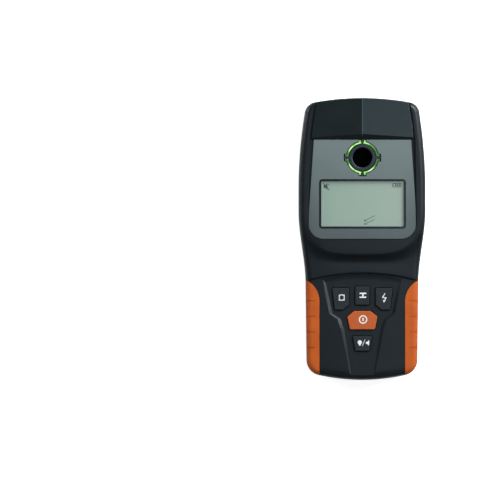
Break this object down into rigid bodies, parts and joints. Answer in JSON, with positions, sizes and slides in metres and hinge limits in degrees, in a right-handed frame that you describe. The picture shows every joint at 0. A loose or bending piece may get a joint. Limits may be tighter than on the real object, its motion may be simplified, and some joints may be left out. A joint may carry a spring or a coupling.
{
  "type": "stud finder",
  "caption": "Hand-held wall scanner with a wide head, a lit marking hole, a display, five push keys, orange side grips and a sliding battery cover.",
  "frame": {"origin": "centre of the bounding box at the height of the surface that the glides stand on", "axes": "+Y towards the head end, +X to the right seen from the face, +Z out of the face"},
  "size_m": [0.09, 0.2, 0.0379],
  "materials": {
    "body_black": "fine satin moulding",
    "plate_grey": "satin grey with a slight metallic sheen",
    "clear_lens": "clear polished plastic",
    "collar_black": "satin",
    "light_green": "clear light guide, lit green",
    "grip_orange": "matt soft grip",
    "key_black": "fine matt texture",
    "key_orange": "matt",
    "display_glass": "grey-green display glass",
    "white_plastic": "white backlight tray",
    "board_green": "solder resist",
    "chip_black": "moulded",
    "wire_red": "insulation",
    "bobbin_cream": "moulded",
    "copper_wire": "enamelled copper winding",
    "battery_case": "printed metal can",
    "led_clear": "clear resin",
    "switch_steel": "pressed cover",
    "screw_steel": "zinc plated",
    "felt_grey": "felt"
  },
  "bodies": {
    "housing": {"front_shell": "body_black", "rear_shell": "body_black", "marking_collar": "collar_black", "lcd_window": "clear_lens", "left_grip": "grip_orange", "right_grip": "grip_orange", "glide_pad_1": "felt_grey", "glide_pad_2": "felt_grey", "glide_pad_3": "felt_grey", "glide_pad_4": "felt_grey", "lcd_panel": "display_glass", "lcd_frame": "white_plastic", "main_board": "board_green", "processor": "chip_black", "buzzer": "chip_black", "sensor_board": "board_green", "coil_bobbin": "bobbin_cream", "sensor_coil": "copper_wire", "battery": "battery_case", "battery_snap": "chip_black", "wire_positive": "wire_red", "wire_negative": "chip_black", "led_1": "led_clear", "led_2": "led_clear", "led_3": "led_clear", "led_4": "led_clear", "switch_left": "switch_steel", "switch_middle": "switch_steel", "switch_right": "switch_steel", "switch_power": "switch_steel", "switch_lower": "switch_steel", "screw_1": "screw_steel", "screw_2": "screw_steel", "screw_3": "screw_steel", "screw_4": "screw_steel", "light_ring": "light_green", "face_plate": "plate_grey"},
    "key_left": {"key_left": "key_black"},
    "key_middle": {"key_middle": "key_black"},
    "key_right": {"key_right": "key_black"},
    "key_power": {"key_power": "key_orange"},
    "key_lower": {"key_lower": "key_black"},
    "battery_cover": {"battery_cover": "body_black"}
  },
  "joints": [
    {"name": "key_left_press", "type": "slide", "parent": "housing", "child": "key_left", "axis": [0, 0, -1], "range_m": [0, 0.0005], "stiffness_N_per_m": 800, "springref_m": -0.0005},
    {"name": "key_middle_press", "type": "slide", "parent": "housing", "child": "key_middle", "axis": [0, 0, -1], "range_m": [0, 0.0005], "stiffness_N_per_m": 800, "springref_m": -0.0005},
    {"name": "key_right_press", "type": "slide", "parent": "housing", "child": "key_right", "axis": [0, 0, -1], "range_m": [0, 0.0005], "stiffness_N_per_m": 800, "springref_m": -0.0005},
    {"name": "key_power_press", "type": "slide", "parent": "housing", "child": "key_power", "axis": [0, 0, -1], "range_m": [0, 0.0005], "stiffness_N_per_m": 800, "springref_m": -0.0005},
    {"name": "key_lower_press", "type": "slide", "parent": "housing", "child": "key_lower", "axis": [0, 0, -1], "range_m": [0, 0.0005], "stiffness_N_per_m": 800, "springref_m": -0.0005},
    {"name": "battery_cover_slide", "type": "slide", "parent": "housing", "child": "battery_cover", "axis": [0, -1, 0], "range_m": [0, 0.06]}
  ]
}
